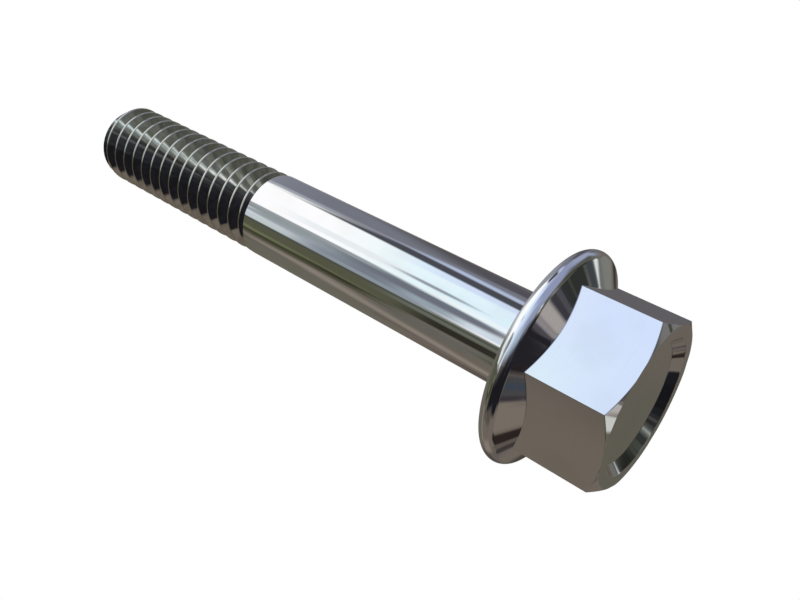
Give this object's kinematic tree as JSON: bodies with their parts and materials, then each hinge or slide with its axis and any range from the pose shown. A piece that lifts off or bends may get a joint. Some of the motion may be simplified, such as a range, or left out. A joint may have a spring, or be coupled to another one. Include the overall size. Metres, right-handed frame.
{
  "type": "flange bolt",
  "caption": "Hexagon flange bolt: dished hexagonal head on a conical round-rimmed flange, plain shank, coarse right-hand thread with a chamfered tip.",
  "frame": {"origin": "centre of the bearing face under the head, on the bolt's axis", "axes": "+Z along the shank towards the thread's tip; the head is below the origin, and two of its corners point along +X and -X"},
  "size_m": [0.0174, 0.0174, 0.0593],
  "materials": {
    "bright_steel": "polished"
  },
  "bodies": {
    "root": {"bolt": "bright_steel"}
  },
  "joints": []
}
